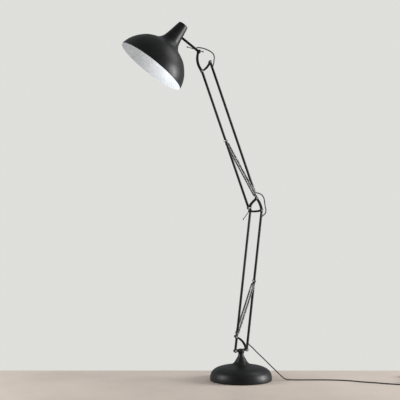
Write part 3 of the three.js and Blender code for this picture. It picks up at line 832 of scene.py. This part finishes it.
def plate_field(bars, bosses, holes):
    """The distance out of a plate's outline, with fillets where its bars and bosses meet."""
    fillet = 0.0022

    def joined(a, b):
        share = min(max(0.5 + 0.5 * (b - a) / fillet, 0), 1)
        return b + (a - b) * share - fillet * share * (1 - share)

    def field(x, z):
        point = Vector((x, 0, z))
        value = 1.0
        for line in bars:
            nearest = 1.0
            for a, b in zip(line, line[1:]):
                run = b - a
                t = min(max((point - a).dot(run) / run.length_squared, 0), 1)
                nearest = min(nearest, (point - a - run * t).length)
            value = joined(value, nearest - BAR_WIDTH / 2) if value < 1 else nearest - BAR_WIDTH / 2
        for centre, radius in bosses:
            value = joined(value, (point - centre).length - radius)
        for centre, radius in holes:
            value = max(value, radius - (point - centre).length)
        return value

    return field


def contours(field, low, high, step):
    """The closed lines along which a field of x and z is zero."""
    nx = math.ceil((high[0] - low[0]) / step)
    nz = math.ceil((high[1] - low[1]) / step)
    grid = [[field(low[0] + i * step, low[1] + j * step) for j in range(nz + 1)] for i in range(nx + 1)]
    links = {}
    place = {}

    def crossing(i, j, di, dj):
        key = (i, j, di, dj)
        if key not in place:
            a, b = grid[i][j], grid[i + di][j + dj]
            t = a / (a - b)
            place[key] = (low[0] + (i + di * t) * step, low[1] + (j + dj * t) * step)
        return key

    for i in range(nx):
        for j in range(nz):
            edges = [(i, j, 1, 0), (i + 1, j, 0, 1), (i, j + 1, 1, 0), (i, j, 0, 1)]
            cut = [e for e in edges if (grid[e[0]][e[1]] < 0) != (grid[e[0] + e[2]][e[1] + e[3]] < 0)]
            if len(cut) == 4:
                middle = field(low[0] + (i + 0.5) * step, low[1] + (j + 0.5) * step)
                if (grid[i][j] < 0) != (middle < 0):
                    cut = [cut[3], *cut[:3]]
            for a, b in zip(cut[::2], cut[1::2]):
                a, b = crossing(*a), crossing(*b)
                links.setdefault(a, []).append(b)
                links.setdefault(b, []).append(a)
    loops = []
    while links:
        start, (after, _) = next(iter(links.items()))
        loop = [start]
        before = start
        here = after
        while here != start:
            loop.append(here)
            ways = links.pop(here)
            before, here = here, ways[0] if ways[1] == before else ways[1]
        links.pop(start)
        loops.append([place[key] for key in loop])
    return loops


def plate_mesh(bm, loops, field, y_low, y_high, edge=0.0007):
    """A plate between two heights of Y with rounded edges."""
    tiny = 1e-5
    rounding = 3
    steps = [(edge + 0.0004, 0)]
    steps += [
        (edge * (1 - math.sin(math.pi / 2 * s / rounding)), edge * (1 - math.cos(math.pi / 2 * s / rounding)))
        for s in range(rounding + 1)
    ]
    height = y_high - y_low
    levels = steps + [(inset, height - rise) for inset, rise in reversed(steps)]
    caps = ([], [])
    for loop in loops:
        inwards = []
        for x, z in loop:
            slope = Vector((field(x + tiny, z) - field(x - tiny, z), field(x, z + tiny) - field(x, z - tiny)))
            inwards.append(-slope.normalized())
        rows = []
        for inset, rise in levels:
            rows.append([
                bm.verts.new((x + way.x * inset, y_low + rise, z + way.y * inset))
                for (x, z), way in zip(loop, inwards)
            ])
        for a, b in zip(rows, rows[1:]):
            join_rings(bm, a, b)
        caps[0].append(rows[0])
        caps[1].append(rows[-1])
    for rows in caps:
        verts = [v for row in rows for v in row]
        flat = [[Vector((v.co.x, v.co.z, 0)) for v in row] for row in rows]
        for triangle in tessellate_polygon(flat):
            corners = [verts[k] for k in triangle]
            if len(set(corners)) == 3 and not bm.faces.get(corners):
                bm.faces.new(corners)


def weld_nut(bm, pivot_at, sign):
    nut = [(BOLT_RADIUS, 0.009), (0.0066, 0.009), (0.0066, 0.015), (BOLT_RADIUS, 0.015)]
    revolve(bm, softened(nut, 0.0006, closed=True), 6, across(pivot_at, sign), closed=True)


def add_plates(name, bars, bosses, nut=None):
    hole = 0.0031
    margin = 0.014
    grid_step = 0.0008
    field = plate_field(bars, bosses, [(centre, hole) for centre, _ in bosses])
    xs = [centre.x for centre, _ in bosses] + [p.x for line in bars for p in line]
    zs = [centre.z for centre, _ in bosses] + [p.z for line in bars for p in line]
    low = (min(xs) - margin, min(zs) - margin)
    high = (max(xs) + margin, max(zs) + margin)
    loops = contours(field, low, high, grid_step)
    for side, sign in SIDES.items():
        bm = bmesh.new()
        y_low = PLATE_INNER if sign > 0 else -PLATE_OUTER
        plate_mesh(bm, loops, field, y_low, y_low + PLATE_OUTER - PLATE_INNER)
        if nut and nut[0] == side:
            weld_nut(bm, nut[1], sign)
        look(f"{name}_plate_{side}", bm, BLACK_PAINT)


# -------- bolts and studs


def bolt_end(bm, point, sign, start=PLATE_OUTER + GAP):
    """A washer and a hexagon nut."""
    place = across(point, sign)
    washer = [(BOLT_RADIUS, start), (0.0062, start), (0.0062, start + 0.001), (BOLT_RADIUS, start + 0.001)]
    revolve(bm, softened(washer, 0.0003, closed=True), 40, place, closed=True)
    nut = [
        (BOLT_RADIUS, start + 0.001), (0.0048, start + 0.001), (0.0052, start + 0.0015),
        (0.0052, start + 0.0037), (0.0047, start + 0.0042), (BOLT_RADIUS, start + 0.0042),
    ]
    revolve(bm, softened(nut, 0.0003, closed=True, steps=2), 6, place, closed=True)


def stud_head():
    """The outline of a stud's outer end, whose head keeps a spring's hook on."""
    return [
        (STUD_RADIUS, STUD_END - 0.0018), (STUD_HEAD, STUD_END - 0.0016), (STUD_HEAD, STUD_END - 0.0004),
        (STUD_HEAD - 0.0006, STUD_END), (0, STUD_END),
    ]


def add_stud(bm, point, sign, root):
    """A spring stud on one side of the lamp, from its root outwards."""
    stud = [(0, root), (STUD_RADIUS, root), *stud_head()]
    revolve(bm, softened(stud, 0.0004, steps=2), 32, across(point, sign))


def add_bolt(node, point, studs=False):
    bm = bmesh.new()
    tip = PLATE_OUTER + GAP + 0.005
    for sign in (-1, 1):
        bolt_end(bm, point, sign)
    if studs:
        half = [(BOLT_RADIUS, 0), (BOLT_RADIUS, tip), (STUD_RADIUS, tip + 0.0006), *stud_head()]
    else:
        half = [(BOLT_RADIUS, tip - 0.0008), (BOLT_RADIUS * 0.7, tip), (0, tip)]
    shank = [(r, -y) for r, y in reversed(half)] + [(r, y) for r, y in half if y > 0]
    revolve(bm, softened(shank, 0.0004, steps=2), 32, across(point))
    look(node, bm, ZINC)


def add_foot():
    links = [bar(FOOT_REAR + Vector((-0.003, 0, 0)), FOOT_SPRING, -0.011), bar(FOOT_FRONT, FOOT_REAR, 0.0022)]
    bosses = [(FOOT_SPRING, 0.007), (FOOT_REAR, 0.0075), (FOOT_FRONT, 0.0082)]
    add_plates("foot", links, bosses)
    add_bolt("foot_front_bolt", FOOT_FRONT)
    add_bolt("foot_rear_bolt", FOOT_REAR)
    for side, sign in SIDES.items():
        bm = bmesh.new()
        start = PLATE_OUTER + GAP
        add_stud(bm, FOOT_SPRING, sign, PLATE_INNER)
        nut = [(STUD_RADIUS, start), (0.005, start), (0.005, start + 0.0027), (STUD_RADIUS, start + 0.0027)]
        revolve(bm, softened(nut, 0.0004, closed=True, steps=2), 6, across(FOOT_SPRING, sign), closed=True)
        look(f"foot_spring_stud_{side}", bm, ZINC)


def add_clamp(name, point, sign, run, long, short):
    """A clamp screw whose boss holds a sliding bar with a bead at each end."""
    boss_start = PLATE_OUTER + GAP
    boss_end = 0.03
    bar_y = 0.025
    bm = bmesh.new()
    screw = [
        (0, -PLATE_OUTER - 0.007), (0.002, -PLATE_OUTER - 0.007), (BOLT_RADIUS, -PLATE_OUTER - 0.0062),
        (BOLT_RADIUS, boss_start), (0.0068, boss_start), (0.0068, boss_start + 0.0014),
        (0.0052, boss_start + 0.0022), (0.0052, boss_end - 0.0008), (0.0044, boss_end), (0, boss_end),
    ]
    revolve(bm, softened(screw, 0.0004, steps=2), 40, across(point, sign))
    bar_place = upright(point + Vector((0, sign * bar_y, 0)), run)
    piece = mesh_object(f"{name}_clamp_screw_look", bm, BLACK_PAINT)
    hole = bmesh.new()
    revolve(hole, [(0, -0.02), (0.0021, -0.02), (0.0021, 0.02), (0, 0.02)], 24, bar_place)
    stand_for(subtract(piece, [hole]), f"{name}_clamp_screw")

    bm = bmesh.new()
    bead = 0.0032
    rod = 0.0017
    length = 0.005
    outline = [
        (0, -short - 0.001), (bead, -short - 0.001), (bead, -short - 0.001 + length),
        (rod, -short - 0.001 + length), (rod, long + 0.001 - length), (bead, long + 0.001 - length),
        (bead, long + 0.001), (0, long + 0.001),
    ]
    revolve(bm, softened(outline, 0.0012, steps=4), 28, bar_place)
    look(f"{name}_clamp_bar", bm, BLACK_PAINT)


def lean_run(degrees):
    angle = math.radians(degrees)
    return Vector((math.sin(angle), 0, math.cos(angle)))


def add_elbow():
    corner = ELBOW_FRONT + Vector((0.0012, 0, 0.031))
    bars = [
        bar(ELBOW_TOP, corner, -0.0015), bar(corner, ELBOW_FRONT, -0.0018), bar(ELBOW_TOP, ELBOW_REAR, 0.004),
        bar(ELBOW_FRONT, ELBOW_REAR, -0.0036),
    ]
    bosses = [(ELBOW_TOP, 0.007), (ELBOW_REAR, 0.007), (ELBOW_FRONT, 0.0072), (ELBOW_UPPER, 0.0072)]
    add_plates("elbow", bars, bosses, ("near", ELBOW_FRONT))
    add_bolt("elbow_front_bolt", ELBOW_UPPER)
    add_bolt("elbow_rear_bolt", ELBOW_REAR)
    add_bolt("elbow_spring_bolt", ELBOW_TOP, studs=True)
    add_clamp("elbow", ELBOW_FRONT, 1, lean_run(-144), long=0.05, short=0.012)


def add_head_bracket():
    bars = [bar(HEAD_FRONT, HEAD_TILT, 0.013), bar(HEAD_FRONT, HEAD_REAR, -0.006)]
    bosses = [(HEAD_TILT, 0.0074), (HEAD_FRONT, 0.007), (HEAD_REAR, 0.007)]
    add_plates("head", bars, bosses, ("far", HEAD_TILT))
    add_bolt("head_front_bolt", HEAD_FRONT)
    add_bolt("head_rear_bolt", HEAD_REAR)
    add_clamp("head", HEAD_TILT, -1, lean_run(-75), long=0.063, short=0.02)


add_foot()
add_elbow()
add_head_bracket()

# -------- tubes


def tube_outline(radius, bore, low, high, breaks=()):
    """The section of a tube's wall, with rings of points at the breaks."""
    edge = 0.0004
    outside = [(radius, z) for z in (low + edge, *breaks, high - edge)]
    inside = [(bore, z) for z in (high - edge, *reversed(breaks), low + edge)]
    return [(radius - edge, low), *outside, (radius - edge, high), *inside]


def slot_cutter(route, at_start):
    """The cord's own path, a little wider, where it passes through a tube's wall."""
    path = curve_through(route if at_start else route[::-1], 0.003)
    bm = bmesh.new()
    sweep(bm, path[: ring_at(path, 0.036)], CORD_RADIUS + 0.0006, 20)
    return bm


def add_tube(node, start, end, slots=()):
    run = (end - start).normalized()
    length = (end - start).length
    place = upright(start, run)
    near_ends = (0.02, 0.035, 0.05, 0.07)
    breaks = [*near_ends, *[length - d for d in reversed(near_ends)]]
    outline = tube_outline(TUBE_RADIUS, TUBE_BORE, -TUBE_END, length + TUBE_END, breaks)
    bm = bmesh.new()
    revolve(bm, outline, 48, place, closed=True)
    piece = mesh_object(f"{node}_look", bm, BLACK_PAINT)
    if slots:
        subtract(piece, slots)
    stand_for(piece, node)


def add_arm_cord(node, start, end):
    """The cord inside an arm, from one end of the hidden stretch to the other."""
    run = (end - start).normalized()
    bm = bmesh.new()
    reach = CORD_HIDDEN + GAP
    path = [start + run * (reach + ((end - start).length - 2 * reach) * k / 8) for k in range(9)]
    sweep(bm, path, CORD_RADIUS, 16)
    look(node, bm, SLEEVE, 60)


def add_collar(node, point, run):
    bm = bmesh.new()
    bore = TUBE_RADIUS + GAP
    half = 0.004
    ring = [(bore, -half), (COLLAR_RADIUS, -half), (COLLAR_RADIUS, half), (bore, half)]
    revolve(bm, softened(ring, 0.0008, closed=True), 48, upright(point, run), closed=True)
    for sign in (-1, 1):
        add_stud(bm, point, sign, COLLAR_RADIUS - 0.001)
    look(node, bm, ZINC)


def add_arms():
    mains_route = [*hidden_in(FOOT_REAR, LOWER_RUN), *[Vector(p) for p in MAINS_ROUTE[:5]]]
    lower_front_end = FOOT_FRONT + ELBOW_REAR - FOOT_REAR
    add_tube("lower_front_tube", FOOT_FRONT, lower_front_end)
    lower_slots = [slot_cutter(mains_route, True), slot_cutter(ELBOW_ROUTE, False)]
    add_tube("lower_rear_tube", FOOT_REAR, ELBOW_REAR, lower_slots)
    add_tube("upper_front_tube", ELBOW_UPPER, HEAD_FRONT)
    upper_slots = [slot_cutter(ELBOW_ROUTE, True), slot_cutter(HEAD_ROUTE, True)]
    add_tube("upper_rear_tube", ELBOW_TOP, HEAD_REAR, upper_slots)
    add_arm_cord("lower_arm_cord", FOOT_REAR, ELBOW_REAR)
    add_arm_cord("upper_arm_cord", ELBOW_TOP, HEAD_REAR)
    add_collar("lower_spring_collar", LOWER_ANCHOR, LOWER_RUN)
    add_collar("upper_spring_collar", UPPER_ANCHOR, UPPER_RUN)


add_arms()

# -------- springs

WIRE_RADIUS = 0.001
SPRING_RADIUS = 0.004
HOOK_RADIUS = 0.0039
HOOK_REACH = 0.013


def hook_points(stud, towards):
    """The open hook round a stud, ending on the spring's axis, as (forward, sideways) points."""
    bends = 8
    tip = math.radians(-50)
    root = math.radians(-300)
    points = []
    for k in range(bends + 1):
        angle = tip + (root - tip) * k / bends
        points.append((HOOK_RADIUS * math.cos(angle), HOOK_RADIUS * math.sin(angle)))
    points += [(HOOK_RADIUS * 1.7, 0.0016), (HOOK_REACH - 0.003, 0)]
    side = Vector((-towards.z, 0, towards.x))
    return [stud + towards * forward + side * sideways for forward, sideways in points]


def spring_path(foot, head, turns):
    """One wire: a hook, a coil wound tight at its ends and drawn open between them, and a hook."""
    run = (head - foot).normalized()
    side = Vector((-run.z, 0, run.x))
    out = Vector((0, 1, 0))
    length = (head - foot).length - 2 * HOOK_REACH
    per_turn = 14
    tight = 2 * WIRE_RADIUS + 0.00005
    count = turns * per_turn
    gaps = [math.sin(math.pi * k / count) ** 2 for k in range(count)]
    spare = length - turns * tight
    all_gaps = sum(gaps)
    coil = []
    z = HOOK_REACH
    for k in range(count + 1):
        angle = 2 * math.pi * k / per_turn
        grow = min(k, count - k) / (per_turn * 0.75)
        radius = SPRING_RADIUS * ease(min(grow, 1))
        coil.append(foot + run * z + (side * math.cos(angle) + out * math.sin(angle)) * radius)
        if k < count:
            z += tight / per_turn + spare * gaps[k] / all_gaps
    first = curve_through([*hook_points(foot, run), coil[0]], 0.0015)[:-1]
    last = curve_through([*hook_points(head, -run), coil[-1]], 0.0015)[:-1]
    return [*first, *coil, *reversed(last)]


def add_springs(name, foot, head, turns):
    for side, sign in SIDES.items():
        shift = Vector((0, sign * SPRING_Y, 0))
        path = spring_path(foot + shift, head + shift, turns)
        bm = bmesh.new()
        sweep(bm, path, WIRE_RADIUS, 8)
        piece = mesh_object(f"{name}_spring_{side}_look", bm, SPRING_STEEL, 70)
        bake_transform(piece)
        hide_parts(f"{name}_spring_{side}", f"{name}_spring_hook_{side}")


add_springs("lower", FOOT_SPRING, LOWER_ANCHOR, 119)
add_springs("upper", ELBOW_TOP, UPPER_ANCHOR, 136)

# -------- shade


def add_shade():
    profile = [
        (0.175, 0), (0.174, 0.009), (0.168, 0.031), (0.156, 0.057), (0.138, 0.082), (0.113, 0.107),
        (0.084, 0.1245), (0.062, 0.136), (0.046, 0.156), (0.037, 0.188), (0.03, 0.228), (0.0258, 0.251),
    ]
    wall = 0.0016
    skin = smooth_outline(profile, 0.0035)
    cap = softened([(0.0258, 0.251), (0.0243, 0.2585), (0.0, 0.2592)], 0.004, steps=6)[1:]
    inner = inside_of(skin, wall)
    inner_cap = [(0.0, 0.2572), (0.0205, 0.2566)]
    rim = [(inner[-1].x, 0.0002), (inner[-1].x + wall / 2, -0.0003), (0.175 - 0.0002, 0.0)]
    outline = [*skin, *cap, *inner_cap, *inner[:-1], *rim]
    bm = bmesh.new()
    sides = 160
    faces = revolve(bm, outline[:-1], sides, closed=True)
    first_inner = (len(skin) + len(cap) - 1) * sides
    for k, face in enumerate(faces):
        face.material_index = 1 if k >= first_inner else 0
    place = upright(SHADE_MOUTH, SHADE_UP)
    bm.transform(place)
    look("shade", bm, [SHADE_PAINT_PAINTED_LIGHTER, WHITE_PAINT])


def add_lamp_inside():
    place = upright(SHADE_MOUTH, SHADE_UP)
    top = ROD_HEIGHT - ROD_RADIUS - GAP
    bm = bmesh.new()
    holder = [
        (0.0148, 0.136), (0.021, 0.136), (0.021, 0.151), (0.0195, 0.152), (0.0195, 0.177), (0.009, 0.188),
        (0.009, top), (0, top), (0, 0.168), (0.0148, 0.168), (0.0148, 0.137),
    ]
    revolve(bm, softened(holder, 0.0007, steps=3), 64, place)
    look("lampholder", bm, PLASTIC)

    bm = bmesh.new()
    glass = [
        (0.0, 0.058), (0.0075, 0.0588), (0.0155, 0.062), (0.023, 0.0678), (0.0278, 0.0755),
        (0.0298, 0.0845), (0.029, 0.097), (0.0225, 0.114), (0.0165, 0.128), (0.014, 0.136),
    ]
    skin = smooth_outline(glass, 0.0025)
    thread = []
    for k in range(6):
        z = 0.138 + k * 0.0036
        thread += [(0.0134, z), (0.0126, z + 0.0018)]
    revolve(bm, [*skin, *thread, (0.012, 0.16), (0.005, 0.1645), (0, 0.165)], 64, place)
    look("lamp_bulb", bm, OPAL, 50)


def add_rod():
    neck = SHADE_MOUTH + SHADE_UP * ROD_HEIGHT
    place = upright(neck, ROD_RUN)
    bm = bmesh.new()
    breaks = [0.05, 0.07, 0.085, 0.1, 0.115, 0.13]
    outline = tube_outline(ROD_RADIUS, 0.0046, -0.008, ROD_REACH + 0.011, breaks)
    revolve(bm, outline, 48, place, closed=True)
    rod = mesh_object("head_rod_look", bm, BLACK_PAINT)
    subtract(rod, [slot_cutter(HEAD_ROUTE, False)])
    stand_for(rod, "head_rod")

    bm = bmesh.new()
    nut = [(ROD_RADIUS + GAP, 0.021), (0.01, 0.021), (0.01, 0.0285), (ROD_RADIUS + GAP, 0.0285)]
    revolve(bm, softened(nut, 0.0006, closed=True), 6, place, closed=True)
    look("rod_nut", bm, ZINC)

    bm = bmesh.new()
    end = ROD_REACH - 0.028 - GAP
    sweep(bm, [neck + ROD_RUN * (-0.005 + (end + 0.005) * k / 4) for k in range(5)], CORD_RADIUS, 16)
    look("head_cord", bm, SLEEVE, 60)


add_shade()
add_lamp_inside()
add_rod()

# -------- room and light


def add_floor():
    """A plain floor. Its far edge is square to the view, and the pale background begins there."""
    behind = 0.292
    finish = Finish("plain_floor", specular=0.3)
    finish.colour(finish.ramp(finish.noise(3, 4), (0.47, 0.405, 0.355), (0.51, 0.445, 0.39)))
    finish.roughness(finish.ramp(finish.noise(25, 4), 0.55, 0.65))
    finish.bump(finish.noise(400, 3), 0.00005, 0.4)
    turn = Matrix.Rotation(-CAMERA_TURN, 4, "Z")
    bm = bmesh.new()
    rings = []
    for z, inset in ((-0.02, 0), (-0.001, 0), (0, 0.001)):
        corners = [(-4, -3.2), (4, -3.2), (4, behind), (-4, behind)]
        rings.append([
            turn @ Vector((x - math.copysign(inset, x), y - math.copysign(inset, y), z)) for x, y in corners
        ])
    loft(bm, rings)
    mesh_object("floor", bm, finish.material)


def add_light(name, at, towards, size, power):
    data = bpy.data.lights.new(name, "AREA")
    data.shape = "RECTANGLE"
    data.size, data.size_y = size
    data.energy = power
    light = bpy.data.objects.new(name, data)
    light.location = at
    light.rotation_euler = (Vector(towards) - Vector(at)).to_track_quat("-Z", "Y").to_euler()
    bpy.context.scene.collection.objects.link(light)


def add_world():
    """A plain pale wall colour to look at, and a dimmer even light from all round."""
    world = bpy.data.worlds.new("studio")
    world.use_nodes = True
    tree = world.node_tree
    output = tree.nodes["World Output"]
    wall = tree.nodes["Background"]
    wall.inputs["Color"].default_value = (0.735, 0.74, 0.71, 1)
    wall.inputs["Strength"].default_value = 1.0
    around = tree.nodes.new("ShaderNodeBackground")
    around.inputs["Color"].default_value = (0.95, 0.98, 1.0, 1)
    around.inputs["Strength"].default_value = 0.33
    seen = tree.nodes.new("ShaderNodeLightPath").outputs["Is Camera Ray"]
    mix = tree.nodes.new("ShaderNodeMixShader")
    tree.links.new(seen, mix.inputs[0])
    tree.links.new(around.outputs[0], mix.inputs[1])
    tree.links.new(wall.outputs[0], mix.inputs[2])
    tree.links.new(mix.outputs[0], output.inputs["Surface"])
    bpy.context.scene.world = world


add_floor()
add_light("right_softbox", (3.9, -0.95, 1.25), (0, 0, 1.0), (1.5, 2.0), 300)
add_light("left_softbox", (-2.6, 0.0, 1.2), (0, 0, 0.9), (0.9, 1.3), 55)
add_light("top_softbox", (2.0, 0.3, 3.0), (0, 0, 0), (1.4, 1.4), 22)
add_world()
bpy.context.scene.view_settings.view_transform = "Standard"
